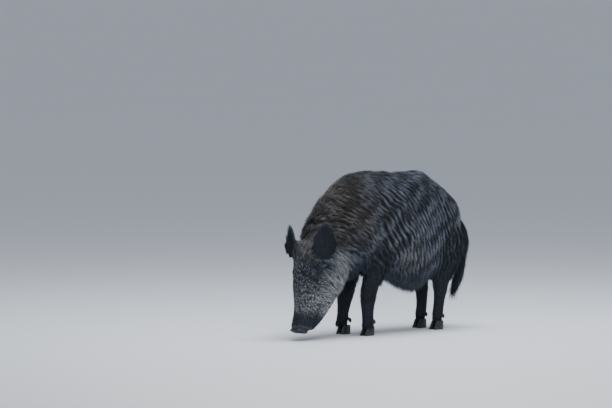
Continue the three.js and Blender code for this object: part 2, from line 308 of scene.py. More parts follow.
def sculpt_head(web):
    """Nostrils, the snout's rim, lips, lids, brows and the folds of the muzzle."""
    local = in_head(web.points)
    side, back, up = local.T
    push = np.zeros_like(local)
    for x in (-1, 1):
        hole = np.hypot((side - x * 0.0185) / 0.0072, (up - 0.003) / 0.0098)
        push[:, 1] += 0.013 * ramp(-hole, -1.0, -0.5) * ramp(-back, -0.012, 0.0)
        push[:, 1] -= 0.0016 * bell(hole - 1.25, 0.22) * ramp(-back, -0.012, 0.0)
    out = unit(np.column_stack([side, np.zeros_like(side), up + 0.02]))
    push += out * (0.0050 * bell(back - 0.021, 0.010))[:, None]
    above, lips = mouth_line(local)
    line = bell(above, 0.0042) * lips
    lip = bell(above - 0.012, 0.009) * lips + 0.5 * bell(above + 0.011, 0.008) * lips
    push += out * (0.0040 * lip - 0.0075 * line)[:, None]
    wrinkle = np.sin(back * 2 * math.pi / 0.011 + 1.6 * ripple(local, 0.03, 3))
    soft = ramp(up, -0.01, 0.03) * ramp(back, 0.026, 0.04) * ramp(-back, -0.10, -0.06)
    push += out * (0.0007 * wrinkle * soft)[:, None]
    for x in (-1, 1):
        brow = bump_at(local - [x * 0.060, 0.292, 0.052], [0.022, 0.030, 0.014])
        pit = bump_at(local - [x * 0.070, 0.262, 0.018], [0.020, 0.020, 0.016])
        cheekbone = bump_at(local - [x * 0.092, 0.235, -0.03], [0.03, 0.055, 0.022])
        canine = bump_at(local - [x * 0.056, 0.098, -0.022], [0.02, 0.03, 0.016])
        push += out * (0.0042 * brow - 0.0050 * pit + 0.0035 * cheekbone + 0.004 * canine)[:, None]
    web.points += push @ HEAD_TURN.T
    for name in SIDES:
        web.points = set_lids(web.points, name)


def sculpt_body(web, weights, normals):
    """Slow swells of muscle and fold, and wrinkles behind the knee."""
    height = web.points[:, 2]
    body = total(weights, "trunk", "rump", "neck", "upper")
    swell = 0.0035 * ripple(web.points * [1.4, 1.0, 0.7], 0.16, 7) * body
    knee = ramp(height, 0.15, 0.18) * ramp(-height, -0.26, -0.22)
    leg = total(weights, "lower", "upper")
    swell += 0.0005 * np.sin(height * 2 * math.pi / 0.012) * leg * knee * ramp(normals[:, 1], 0.2, 0.7)
    web.points += normals * swell[:, None]


def fine_faces(mesh):
    """Divides the faces round the eyes and the snout, where the form is smallest."""
    bm = bmesh.new()
    bm.from_mesh(mesh)
    centres = np.array([face.calc_center_median() for face in bm.faces])
    near = in_head(centres)[:, 1] < 0.014
    for eye in EYES.values():
        near |= np.linalg.norm(centres - eye, axis=1) < 0.028
    bm.faces.ensure_lookup_table()
    edges = {edge for i in np.flatnonzero(near) for edge in bm.faces[i].edges}
    bmesh.ops.subdivide_edges(bm, edges=list(edges), cuts=2, use_grid_fill=True)
    bm.to_mesh(mesh)
    bm.free()


def largest_island(mesh):
    """Drops the crumbs that the remesh leaves inside."""
    web = Web(mesh)
    label = np.arange(len(web.points))
    while True:
        low = label.copy()
        least = np.minimum(label[web.ends[:, 0]], label[web.ends[:, 1]])
        np.minimum.at(low, web.ends[:, 0], least)
        np.minimum.at(low, web.ends[:, 1], least)
        low = low[low]
        if np.array_equal(low, label):
            break
        label = low
    keep = np.bincount(label).argmax()
    bm = bmesh.new()
    bm.from_mesh(mesh)
    bm.verts.ensure_lookup_table()
    crumbs = [bm.verts[i] for i in np.flatnonzero(label != keep)]
    bmesh.ops.delete(bm, geom=crumbs, context="VERTS")
    bm.to_mesh(mesh)
    bm.free()


def unwrap(piece):
    """An unwrap of the piece's own shape, in a map that the coat's locks are placed on too."""
    layer = piece.data.uv_layers.new(name="OFBake")
    piece.data.uv_layers.active = layer
    bpy.context.view_layer.objects.active = piece
    piece.select_set(True)
    bpy.ops.object.mode_set(mode="EDIT")
    bpy.ops.mesh.select_all(action="SELECT")
    bpy.ops.uv.smart_project(angle_limit=math.radians(66), island_margin=0.002)
    bpy.ops.object.mode_set(mode="OBJECT")
    piece.select_set(False)


def spot(points, x, y, z, size):
    """A soft spot on both flanks."""
    return bump_at((np.abs(points) * [1, 0, 0] + points * [0, 1, 1]) - [x, y, z], size)


def markings(points, weights):
    """Where the coat is pale or brown, where it is dark, either as very dark hair or as painted shade, and
    where the skin is bare, from 0 to 1 each.
    """
    local = in_head(points)
    _, back, up = local.T
    head, height, place = weights["head"], points[:, 2], points[:, 1]
    patch = 0.5 + 0.5 * ripple(points, 0.05, 11)
    jowl = ramp(back, 0.09, 0.15) * ramp(-back, -0.36, -0.27) * ramp(-up, -0.02, 0.06)
    ruff = ramp(back, 0.16, 0.24) * ramp(-up, 0.03, 0.10)
    muzzle = ramp(back, 0.075, 0.11) * ramp(-back, -0.26, -0.16) * (0.35 + 0.65 * patch)
    pale = head * np.clip(0.95 * jowl * (0.5 + 0.5 * patch) + 0.95 * ruff + 0.5 * muzzle, 0, 1)
    throat = weights["neck"] * ramp(-height, -0.46, -0.38) * ramp(-place, 0.30, 0.38)
    pale = np.clip(pale + 0.8 * throat + 0.55 * spot(points, 0.16, 0.09, 0.37, 0.06) * weights["trunk"], 0, 1)
    fore = 1 - ramp(place, -0.30, 0.02)
    front = total(weights, "neck", "trunk")
    brown = front * fore * ramp(height, 0.38, 0.56)
    brown += 0.30 * total(weights, "trunk", "rump") * (0.5 + 0.5 * ripple(points, 0.13, 8)) * (1 - fore)
    brown += 0.8 * head * ramp(back, 0.29, 0.36) * ramp(up, 0.0, 0.05)
    brown += 0.9 * spot(points, 0.16, 0.10, 0.37, 0.07) * weights["trunk"]
    black = weights["ear"] + weights["lower"] + weights["tuft"] * 0.5
    black += weights["upper"] * ramp(-height, -0.40, -0.26) + 0.25 * weights["upper"]
    # Painted shade: a dark spot in the recess behind the elbows.
    black += 0.85 * front * spot(points, 0.14, -0.045, 0.36, [0.09, 0.06, 0.09])
    body = front + weights["rump"]
    # Painted shade: the coat darker low on the body, under the belly.
    black += 0.85 * body * ramp(-height, -0.40, -0.29)
    # Painted shade: a dark spot on the lower neck behind the ruff of the cheeks, under the hanging head.
    black += 0.9 * body * spot(points, 0.10, -0.24, 0.37, [0.12, 0.07, 0.09])
    above, lips = mouth_line(local)
    black += head * (1 - ramp(back, 0.06, 0.10)) + head * lips * bell(above, 0.007)
    crown = ramp(-np.linalg.norm(points - NAPE, axis=1), -0.16, -0.09) * ramp(points[:, 2], 0.42, 0.48)
    pale, brown = pale * (1 - crown), np.maximum(brown, 0.9 * crown)
    bare = head * ramp(-back, -0.034, -0.024)
    for eye in EYES.values():
        reach = np.linalg.norm(points - eye, axis=1)
        behind = np.linalg.norm(points - eye - HEAD_TURN @ np.array([0.0, 0.009, 0.0]), axis=1)
        bare = np.maximum(bare, ramp(-np.minimum(reach, behind), -0.020, -0.014))
        black = black + 0.7 * head * ramp(-reach, -0.055, -0.03)
    return {"pale": pale, "brown": np.clip(brown, 0, 1), "black": np.clip(black, 0, 1), "bare": bare}


def add_core(bm, node, share, shift):
    """Adds a copy of a horn node, drawn in about its middle, so that the skin fills the horn."""
    core = merged_nodes([node])
    space = Matrix.Translation(-Vector(middle(node)))
    bmesh.ops.scale(core, vec=(share, share, share), space=space, verts=core.verts)
    bmesh.ops.translate(core, vec=shift, verts=core.verts)
    mesh = mesh_of(core, "core")
    bm.from_mesh(mesh)
    bpy.data.meshes.remove(mesh)


def make_skin(voxel):
    bm = merged_nodes(FLESH_NODES + EYE_NODES)
    for node in HORN_NODES:
        if node.startswith("hoof"):
            add_core(bm, node, 0.88, (0, 0, 0.001))
        else:
            add_core(bm, node, 0.95, (0, -0.010, 0.010))
    pad = bmesh.ops.create_icosphere(bm, subdivisions=3, radius=1)["verts"]
    bmesh.ops.scale(bm, vec=NAPE_PAD, verts=pad)
    bmesh.ops.translate(bm, vec=NAPE, verts=pad)
    piece = new_object("skin", mesh_of(bm, "skin_rough"))
    remesh = piece.modifiers.new("whole", "REMESH")
    remesh.mode = "VOXEL"
    remesh.voxel_size = voxel
    graph = bpy.context.evaluated_depsgraph_get()
    mesh = bpy.data.meshes.new_from_object(piece.evaluated_get(graph))
    piece.modifiers.clear()
    piece.data = mesh
    largest_island(mesh)
    fine_faces(mesh)
    web = Web(mesh)
    weights = region_weights(web)
    crisp = np.clip(weights["ear"] + ramp(-in_head(web.points)[:, 1], -0.03, -0.01), 0, 1)
    web.points = web.smooth(web.points, 10, 0.5 * (1 - 0.8 * crisp))
    reach = np.linalg.norm(web.points - NAPE, axis=1)
    nape = ramp(-reach, -0.20, -0.13) * (1 - crisp) * total(weights, "head", "neck")
    web.points = web.smooth(web.points, NAPE_ROUNDS, 0.5 * nape)
    thin_tail(web, weights)
    depth = web.smooth(coat_depth(web.points, weights), 8)
    for _ in range(SKIN_STEPS):
        inward = web.smooth(web.normals(), 2)
        web.points -= unit(inward) * (depth / SKIN_STEPS)[:, None]
        web.points = web.smooth(web.points, 2, 0.4 * (1 - 0.8 * crisp))
    sculpt_body(web, weights, web.normals())
    sculpt_head(web)
    write_points(mesh, web.points)
    for name, values in {**weights, **markings(web.points, weights)}.items():
        write_value(mesh, name, values)
    shade_smooth(mesh)
    unwrap(piece)
    return piece


# ---- lie of the coat


def crest_line(points, weights):
    """The height of the back at each place along the body, as a smooth function with its slope."""
    body = total(weights, "neck", "trunk", "rump") > 0.5
    low, high = points[body, 1].min(), points[body, 1].max()
    bins = np.linspace(low, high, 60)
    place = np.searchsorted(bins, points[body, 1]).clip(1, 59)
    top = np.zeros(60)
    np.maximum.at(top, place, points[body, 2])
    top[0] = top[1]
    for _ in range(6):
        top[1:-1] = (top[:-2] + top[1:-1] + top[2:]) / 3
    return bins, top, np.gradient(top, bins)


def along_body(y, bins, front, back, start, end):
    """A number that goes from one value to another along the body, and its slope."""
    values = front + (back - front) * ramp(bins, start, end)
    return np.interp(y, bins, values), np.interp(y, bins, np.gradient(values, bins))


def streak_field(points, line):
    """A value that is level along the streaks of the coat, and its slopes along Y and Z."""
    bins, top, slope = line
    y, z = points[:, 1], points[:, 2]
    drop = np.interp(y, bins, top) - z
    rise = np.interp(y, bins, slope)
    fade = 0.075
    sweep, sweep_slope = along_body(y, bins, 0.0, 0.15, -0.50, 0.20)
    lean, lean_slope = along_body(y, bins, 0.58, 0.12, -0.05, 0.42)
    spent = np.exp(-drop.clip(0) / fade)
    curve = sweep / fade * spent + lean
    value = y - sweep * (1 - spent) - lean * drop
    along_y = 1 - sweep_slope * (1 - spent) - lean_slope * drop - curve * rise
    return value, along_y, curve


def tangent(vectors, normals):
    return unit(vectors - normals * np.sum(vectors * normals, axis=1)[:, None])


def ear_axes():
    axes = {}
    for side in SIDES:
        points = points_of(NODES[f"ear_{side}"].data)
        far = points[np.argmax(np.linalg.norm(points - SNOUT, axis=1))]
        axes[side] = points[np.argmax(np.linalg.norm(points - far, axis=1))], far
    return axes


EARS = ear_axes()


def coat_flow(points, normals, weights, line):
    """The way the hairs point, along the skin."""
    value, along_y, curve = streak_field(points, line)
    body = np.column_stack([np.zeros_like(value), curve, -along_y])
    side, back, up = in_head(points).T
    cheek = ramp(back, 0.10, 0.24) * ramp(-up, -0.03, 0.06)
    face = np.column_stack([0.2 * np.sign(side) * cheek, 1 - 1.35 * cheek, -0.15 - 0.9 * cheek])
    head = unit(face) @ HEAD_TURN.T
    down = np.broadcast_to(np.array([0.0, 0.16, -1.0]), points.shape)
    swing = np.interp(points[:, 2], [0.2, 0.3, 0.42, 0.55], [-0.45, -0.2, 0.05, 0.7])
    tail = np.column_stack([0 * swing, swing, swing * 0 - 1])
    left, right = (unit(np.array(EARS[name][1] - EARS[name][0])) for name in SIDES)
    ear = np.where(points[:, :1] > 0.03, left, right)
    parts = {"head": head, "ear": ear, "neck": body, "trunk": body, "rump": body}
    parts.update(tail=tail, tuft=tail, upper=down, lower=down)
    total = sum(weights[name][:, None] * unit(parts[name]) for name in REGIONS)
    return tangent(total, normals)


def coat_sizes(points, normals, weights, length_share):
    """Length, width and lift of a lock at each point."""
    _, back, up = in_head(points).T
    height = points[:, 2]
    head_length = 0.009 + 0.008 * ramp(back, 0.08, 0.2)
    head_length += 0.026 * ramp(back, 0.17, 0.28) * ramp(-up, -0.01, 0.06) + 0.014 * ramp(back, 0.28, 0.36)
    belly = ramp(-height, -0.34, -0.27)
    elbow = 0.040 * ramp(height, 0.25, 0.30) * ramp(normals[:, 1], 0.2, 0.8)
    rim = np.zeros(len(points))
    for root, tip in EARS.values():
        run = unit(np.array(tip - root))
        rim = np.maximum(rim, ramp((points - root) @ run, 0.11, 0.17) * weights["ear"])
    length = {
        "head": head_length,
        "ear": 0.015 + 0.016 * rim,
        "neck": 0.042,
        "trunk": 0.045 + 0.012 * belly + 0.010 * ramp(height, 0.72, 0.79),
        "rump": 0.040,
        "tail": 0.062,
        "tuft": 0.070,
        "upper": 0.017 + 0.020 * ramp(height, 0.24, 0.42) + elbow,
        "lower": 0.011 + 0.003 * ramp(height, 0.1, 0.18),
    }
    width = {
        "head": 0.0012 + 0.0010 * ramp(back, 0.12, 0.28),
        "ear": 0.0013,
        "neck": 0.0029,
        "trunk": 0.0031,
        "rump": 0.0029,
        "tail": 0.0019,
        "tuft": 0.0024,
        "upper": 0.0019 + 0.0008 * ramp(height, 0.24, 0.42),
        "lower": 0.0014,
    }
    lift = {"head": 17, "ear": 10, "neck": 24, "trunk": 22, "rump": 21, "tail": 17, "tuft": 11}
    lift.update(upper=19, lower=14)
    blend = [sum(weights[name] * table[name] for name in REGIONS) for table in (length, width, lift)]
    return blend[0] * length_share, blend[1], np.radians(blend[2])


class Coat:
    """Everything a lock needs to know at the skin's points, read at its root."""

    def __init__(self, skin, length_share, streak_gap):
        mesh = skin.data
        self.web = Web(mesh)
        self.points = self.web.points
        self.normals = self.web.normals()
        marks = ("pale", "brown", "black", "bare")
        held = {name: read(mesh.attributes[name].data, "value", 1)[:, 0] for name in REGIONS + marks}
        self.weights = {name: held[name].astype(float) for name in REGIONS}
        self.marks = {name: held[name] for name in marks}
        self.line = crest_line(self.points, self.weights)
        flow = coat_flow(self.points, self.normals, self.weights, self.line)
        self.flow = tangent(self.web.smooth(flow, 10), self.normals)
        sizes = coat_sizes(self.points, self.normals, self.weights, length_share)
        self.length, self.width, self.lift = sizes
        self.gap = streak_gap
        corners = read(mesh.loop_triangles, "loops", 3, np.int32)
        self.chart = read(mesh.uv_layers["OFBake"].data, "uv", 2)[corners]
        a, b, c = (self.points[self.web.triangles[:, i]] for i in range(3))
        self.areas = np.linalg.norm(np.cross(b - a, c - a), axis=1) / 2

    def roots(self, density, count, rng):
        """Places for locks, spread by area and by density, each with what the skin holds there."""
        triangles = self.web.triangles
        share = self.areas * density[triangles].mean(axis=1)
        ladder = np.cumsum(share)
        ladder /= ladder[-1]
        picks = np.searchsorted(ladder, (np.arange(count) + rng.random(count)) / count)
        picks = picks.clip(0, len(triangles) - 1)
        s, t = rng.random((2, count))
        s, t = np.where(s + t > 1, 1 - s, s), np.where(s + t > 1, 1 - t, t)
        mix = np.column_stack([1 - s - t, s, t])

        def at(values):
            return np.einsum("ij,ij...->i...", mix, values[triangles[picks]])

        found = {name: at(values) for name, values in {**self.weights, **self.marks}.items()}
        names = ("points", "normals", "flow", "length", "width", "lift")
        found.update({name: at(getattr(self, name)) for name in names})
        found["normals"] = unit(found["normals"])
        found["flow"] = tangent(found["flow"], found["normals"])
        found["chart"] = np.einsum("ij,ijk->ik", mix, self.chart[picks])
        return found


def lock_form():
    """One lock: a closed three-sided taper from 0 to 1 along Z, with a ring where it bends."""
    bm = bmesh.new()
    bmesh.ops.create_cone(
        bm, cap_ends=True, cap_tris=False, segments=3, radius1=1, radius2=0, depth=1,
        matrix=Matrix.Translation((0, 0, 0.5)),
    )
    bmesh.ops.remove_doubles(bm, verts=bm.verts, dist=1e-5)
    everything = bm.verts[:] + bm.edges[:] + bm.faces[:]
    bmesh.ops.bisect_plane(bm, geom=everything, plane_co=(0, 0, 0.5), plane_no=(0, 0, 1))
    for vert in bm.verts:
        if 0.4 < vert.co.z < 0.6:
            vert.co.xy *= 1.5
    bmesh.ops.recalc_face_normals(bm, faces=bm.faces)
    bm.verts.index_update()
    points = np.array([vert.co for vert in bm.verts])
    faces, chart = [], []
    for face in bm.faces:
        centre = face.calc_center_median()
        turn = math.atan2(centre.y, centre.x)
        faces.append([vert.index for vert in face.verts])
        for vert in face.verts:
            x, y, z = vert.co
            if abs(face.normal.z) > 0.9:
                chart.append((0.5 + 0.4 * x, -0.12 + 0.1 * y))
                continue
            if z > 0.9:
                chart.append(((turn / math.tau) % 1.0, z))
                continue
            own = turn + math.remainder(math.atan2(y, x) - turn, math.tau)
            chart.append((own / math.tau - math.floor(turn / math.tau), z))
    bm.free()
    return points, faces, np.array(chart)


LOCK_POINTS, LOCK_FACES, LOCK_CHART = lock_form()
LOCK_FLATNESS = 0.55
PATCH = 0.003
ROOT_DEPTH = 0.0012
CREST_REACH = 0.009
CREST_WIDTH = 0.0026
STREAK_PULL = 0.88
LEAST_SLOPE = 0.35
NECK_GAP_SHARE = 0.55
STRIPE_PERIOD = 0.0165


def streaks(found, coat):
    """How far each root lies from the middle of its streak, the way there, and how strong it is."""
    points = found["points"]
    value, along_y, curve = streak_field(points, coat.line)
    fine = ramp(found["neck"] + 0.3 * ripple(points, 0.06, 5), 0.35, 0.65) > 0.5
    gap = np.where(fine, NECK_GAP_SHARE, 1.0) * coat.gap
    across = np.cross(found["normals"], found["flow"])
    slope = along_y * across[:, 1] + curve * across[:, 2]
    least = np.where(slope < 0, -LEAST_SLOPE, LEAST_SLOPE)
    steep = np.where(np.abs(slope) < LEAST_SLOPE, least, slope)
    waver = 0.016 * ripple(points, 0.19, 21) + 0.006 * ripple(points, 0.055, 17)
    waver = waver + 0.0025 * ripple(points, 0.022, 18)
    turns = (value + waver) / gap
    offset = (turns - np.round(turns)) * gap / steep
    body = total(found, "neck", "trunk", "rump") + 0.5 * found["upper"]
    strong = body * (0.40 + 0.60 * ramp(ripple(points, 0.075, 33), -0.6, 0.4))
    return offset, across, strong


def head_stripes(found):
    """Wavy rows of pale hair tips that cross the cheek along the lie of its hair."""
    _, back, up = in_head(found["points"]).T
    wave = 0.35 * ripple(found["points"], 0.05, 41) + 0.12 * ripple(found["points"], 0.017, 42)
    turns = (0.88 * back - 0.47 * up) / STRIPE_PERIOD + 2.2 * wave
    return found["head"] * (0.5 + 0.5 * np.sin(turns * math.tau)) ** 1.8


def make_locks(name, coat, density, count, rng, **change):
    """A piece of coat: many locks in one mesh, rooted on the skin and lying along it."""
    found = coat.roots(density, count, rng)
    offset, across, strong = streaks(found, coat)
    crest = strong * bell(offset, CREST_REACH)
    normals, flow = found["normals"], found["flow"]
    length = found["length"] * change.get("length", 1.0) * rng.uniform(0.75, 1.2, count)
    width = found["width"] * rng.uniform(0.75, 1.25, count)
    stray = rng.normal(0, 1, (2, count)) * change.get("stray", 0.10)
    lift = found["lift"] * change.get("lift", 1.0) * (1 + stray[1])
    lift = lift * (0.62 + 0.5 * crest + 0.3 * (1 - strong))
    gather = -STREAK_PULL * strong * offset
    aim = unit(flow + across * stray[0][:, None])
    middle_rise, tip_rise = 1.25 * lift, 0.95 * lift
    hang = np.array([0.0, 0.0, -1.0]) * change.get("hang", 0.12)
    column = length[:, None]
    bend = aim * np.cos(middle_rise)[:, None] + normals * np.sin(middle_rise)[:, None]
    reach = unit(aim * np.cos(tip_rise)[:, None] + normals * np.sin(tip_rise)[:, None] + hang)
    at_middle = 0.5 * column * bend + across * (0.5 * gather)[:, None]
    at_tip = column * reach + across * gather[:, None]
    sink = found["points"] - normals * ROOT_DEPTH
    level = LOCK_POINTS[:, 2]
    near, far = np.minimum(level * 2, 1), np.maximum(level * 2 - 1, 0)
    spine = sink[:, None] + near[:, None] * at_middle[:, None] + far[:, None] * (at_tip - at_middle)[:, None]
    half = width[:, None, None] / 2
    points = spine + half * LOCK_POINTS[:, 1:2] * np.cross(normals, aim)[:, None]
    points = points + LOCK_FLATNESS * half * LOCK_POINTS[:, :1] * normals[:, None]
    piece = new_object(name, tiled_mesh(name, points, found["chart"]))
    repeat = len(LOCK_POINTS)
    values = {"shade": rng.random(count)}
    values.update({mark: found[mark] for mark in ("pale", "brown", "black")})
    for label, numbers in values.items():
        write_value(piece.data, label, np.repeat(numbers, repeat))
    write_value(piece.data, "along", np.tile(level, count))
    away = offset[:, None] + level * gather[:, None]
    crest = strong[:, None] * bell(away, CREST_WIDTH)
    write_value(piece.data, "crest", (crest + head_stripes(found)[:, None]).ravel())
    return piece


def tiled_mesh(name, points, chart):
    """Joins copies of the lock into one mesh, each with its own patch of the skin's unwrap."""
    count, repeat = points.shape[:2]
    corners = np.concatenate(LOCK_FACES)
    sizes = np.array([len(face) for face in LOCK_FACES])
    mesh = bpy.data.meshes.new(name)
    mesh.vertices.add(count * repeat)
    mesh.vertices.foreach_set("co", points.astype(np.float32).ravel())
    mesh.loops.add(count * len(corners))
    shift = np.arange(count)[:, None] * repeat
    mesh.loops.foreach_set("vertex_index", (corners + shift).astype(np.int32).ravel())
    mesh.polygons.add(count * len(sizes))
    starts = np.concatenate([[0], np.cumsum(sizes)[:-1]])
    loop_shift = np.arange(count)[:, None] * len(corners)
    mesh.polygons.foreach_set("loop_start", (starts + loop_shift).astype(np.int32).ravel())
    layer = mesh.uv_layers.new(name="OFBake")
    places = chart[:, None] + (LOCK_CHART - 0.5) * PATCH
    layer.data.foreach_set("uv", places.astype(np.float32).ravel())
    shade_smooth(mesh)
    mesh.update(calc_edges=True)
    mesh.validate()
    return mesh


# ---- finishes


class Field:
    """A shader socket that adds and multiplies like a number."""

    def __init__(self, finish, socket):
        self.finish, self.socket = finish, socket

    def maths(self, operation, first, second, clamp=False):
        settings = {"operation": operation, "use_clamp": clamp}
        return self.finish.node("ShaderNodeMath", settings, {0: first, 1: second})

    def __add__(self, other):
        return self.maths("ADD", self, other)

    def __sub__(self, other):
        return self.maths("SUBTRACT", self, other)

    def __mul__(self, other):
        return self.maths("MULTIPLY", self, other)

    def __rsub__(self, other):
        return self.maths("SUBTRACT", other, self)

    __radd__, __rmul__ = __add__, __mul__

    def clamp(self):
        return self.maths("ADD", self, 0.0, clamp=True)

    def ramp(self, low, high):
        values = {"Value": self, "From Min": low, "From Max": high}
        return self.finish.node("ShaderNodeMapRange", {"interpolation_type": "SMOOTHSTEP"}, values)


class Finish:
    """A material, with short ways to add its nodes."""

    def __init__(self, name, **constants):
        self.material = bpy.data.materials.get(name) or bpy.data.materials.new(name)
        self.material.use_nodes = True
        self.tree = self.material.node_tree
        self.tree.nodes.clear()
        output = self.tree.nodes.new("ShaderNodeOutputMaterial")
        self.shader = self.tree.nodes.new("ShaderNodeBsdfPrincipled")
        self.tree.links.new(self.shader.outputs[0], output.inputs["Surface"])
        for socket, value in constants.items():
            self.shader.inputs[socket.replace("_", " ")].default_value = value

    def node(self, kind, settings=None, values=None, output=0):
        node = self.tree.nodes.new(kind)
        for name, value in (settings or {}).items():
            setattr(node, name, value)
        for name, value in (values or {}).items():
            if isinstance(value, Field):
                self.tree.links.new(value.socket, node.inputs[name])
            else:
                node.inputs[name].default_value = value
        return Field(self, node.outputs[output])

    def attribute(self, name):
        return self.node("ShaderNodeAttribute", {"attribute_name": name}, output="Fac")

    def place(self, scale=(1, 1, 1)):
        spot = self.node("ShaderNodeTexCoord", output="Object")
        return self.node("ShaderNodeMapping", None, {"Vector": spot, "Scale": scale})

    def noise(self, scale, place=None, detail=3.0):
        values = {"Vector": place or self.place(), "Scale": scale, "Detail": detail, "Roughness": 0.55}
        return self.node("ShaderNodeTexNoise", None, values)

    def mix(self, factor, first, second):
        node = self.tree.nodes.new("ShaderNodeMix")
        node.data_type = "RGBA"
        for index, value in ((0, factor), (6, first), (7, second)):
            if isinstance(value, Field):
                self.tree.links.new(value.socket, node.inputs[index])
            elif index:
                node.inputs[index].default_value = (*value[:3], 1)
            else:
                node.inputs[index].default_value = value
        return Field(self, node.outputs[2])

    def bump(self, height, distance, strength):
        values = {"Height": height, "Distance": distance, "Strength": strength}
        return self.node("ShaderNodeBump", None, values)

    def drive(self, **fields):
        for socket, field in fields.items():
            self.tree.links.new(field.socket, self.shader.inputs[socket.replace("_", " ")])
        return self.material


def coat_finish(looks):
    """Wet bristle: dark at the root, paler along the streaks and on the face. The streak tips carry a painted
    reflection of the sky. Where the dark mask lies, the hair is very dark with a painted sheen: on legs and
    ears, and in the painted shade under the belly and in recesses.
    """
    finish = Finish("Wet bristle", IOR=1.5, Specular_IOR_Level=0.28)
    shade, along, crest = (finish.attribute(name) for name in ("shade", "along", "crest"))
    pale, brown, black = (finish.attribute(name) for name in ("pale", "brown", "black"))
    # Streak tips: paler wet hair tips with a painted reflection of the sky, strongest on the crests.
    tip = (along.ramp(0.2, 0.9) * (0.07 + 1.15 * crest) * (0.45 + 0.9 * shade)).clamp()
    colour = finish.mix(tip, looks.root_colour, looks.tip_and_reflection_colour)
    light = (along.ramp(0.2, 0.9) * (0.25 + 0.75 * crest) * (0.15 + 1.1 * shade)).clamp()
    warm = finish.mix(light, looks.root_colour, looks.mane_colour)
    colour = finish.mix(brown, colour, warm)
    bright = (along.ramp(0.05, 0.6) * (0.05 + 1.15 * crest) * (0.5 + 1.0 * shade)).clamp()
    grizzle = finish.mix(bright, looks.root_colour, looks.face_colour)
    colour = finish.mix(pale, colour, grizzle)
    # Painted sheen: sky light painted on the hair tips of the legs, the ears and the other dark places.
    sheen = (along.ramp(0.2, 0.9) * (0.1 + 0.9 * shade)).clamp()
    dark = finish.mix(sheen, looks.leg_colour, looks.sheen_colour)
    # The dark mask lays very dark hair with its painted sheen over the colour, both where the hair is that
    # dark and where shade is painted.
    colour = finish.mix((black * 0.95).clamp(), colour, dark)
    wet = 0.52 - 0.16 * crest + 0.10 * shade
    return finish.drive(Base_Color=colour, Roughness=wet)


def skin_finish(looks):
    """Dark hide under the coat, flat hair on the legs, and bare wet hide on the snout and round the eyes."""
    finish = Finish("Hide", IOR=1.45, Specular_IOR_Level=0.35)
    bare, pale = (finish.attribute(name) for name in ("bare", "pale"))
    patch = finish.noise(38.0)
    hair = finish.noise(1.0, finish.place((900, 900, 90)), detail=4.0)
    pores = {"Vector": finish.place(), "Scale": 420.0}
    grain = finish.node("ShaderNodeTexVoronoi", {"feature": "SMOOTH_F1"}, pores)
    dark = finish.mix(patch, looks.root_colour, looks.leg_colour)
    dark = finish.mix((pale * 0.35 * hair).clamp(), dark, looks.face_colour)
    hide = finish.mix(finish.noise(90.0).ramp(0.3, 0.7), looks.hide_colour, looks.eye_skin_colour)
    colour = finish.mix(bare, dark, hide)
    height = bare * grain + (1 - bare) * hair
    wet = 0.55 - 0.18 * bare + 0.1 * patch
    return finish.drive(Base_Color=colour, Roughness=wet, Normal=finish.bump(height, 0.0012, 0.6))


IRIS_DARK = (0.004, 0.003, 0.002)
PUPIL = (0.0015, 0.0015, 0.002)
EYE_WHITE = (0.10, 0.075, 0.07)
WORN_HORN = (0.075, 0.065, 0.055)
DRY_DIRT = (0.11, 0.09, 0.07)


def eye_finish(looks):
    finish = Finish("Eyeball", IOR=1.4, Roughness=0.06, Coat_Weight=0.6, Coat_Roughness=0.03)
    polar = finish.attribute("polar")
    spokes = finish.noise(520.0, detail=4.0)
    iris = finish.mix(spokes, looks.iris_colour, IRIS_DARK)
    colour = finish.mix(polar.ramp(0.20, 0.24), PUPIL, iris)
    colour = finish.mix(polar.ramp(0.85, 1.0), colour, EYE_WHITE)
    return finish.drive(Base_Color=colour)


def horn_finish(looks):
    finish = Finish("Horn", IOR=1.5)
    bands = finish.noise(1.0, finish.place((30, 30, 520)), detail=3.0)
    wear = finish.noise(70.0, detail=5.0).ramp(0.45, 0.75)
    low = finish.node("ShaderNodeSeparateXYZ", None, {"Vector": finish.place()}, output="Z")
    dirt = (1 - low.ramp(0.002, 0.018)) * 0.6
    colour = finish.mix(wear * 0.7, looks.horn_colour, WORN_HORN)
    colour = finish.mix((dirt * wear).clamp(), colour, DRY_DIRT)
    rough = 0.34 + 0.25 * wear
    ridges = finish.bump(bands + 0.5 * wear, 0.0008, 0.7)
    return finish.drive(Base_Color=colour, Roughness=rough, Normal=ridges)


# ---- eyes and hooves


CORNEA_RISE = 0.0007
BALL_RADIUS = EYE_RADIUS - 0.0003
FLAT_ANGLE = math.radians(2)
SHARP_ANGLE = math.radians(42)
HORN_ROUND = 0.0016


def make_eye(side):
    """A ball with a raised cornea, looking out of its slit."""
    bm = bmesh.new()
    bmesh.ops.create_uvsphere(bm, u_segments=48, v_segments=32, radius=BALL_RADIUS)
    polar = {}
    for vert in bm.verts:
        angle = vert.co.angle(Vector((0, 0, 1)), 0.0)
        polar[vert.index] = angle
        vert.co += vert.co.normalized() * CORNEA_RISE * math.exp(-((angle / 0.55) ** 4))
    turn = Vector(GAZES[side]).to_track_quat("Z", "Y").to_matrix().to_4x4()
    bmesh.ops.transform(bm, matrix=Matrix.Translation(EYES[side]) @ turn, verts=bm.verts)
    mesh = mesh_of(bm, f"eyeball_{side}")
    write_value(mesh, "polar", [polar[i] for i in range(len(mesh.vertices))])
    shade_smooth(mesh)
    return new_object(f"eyeball_{side}", mesh)


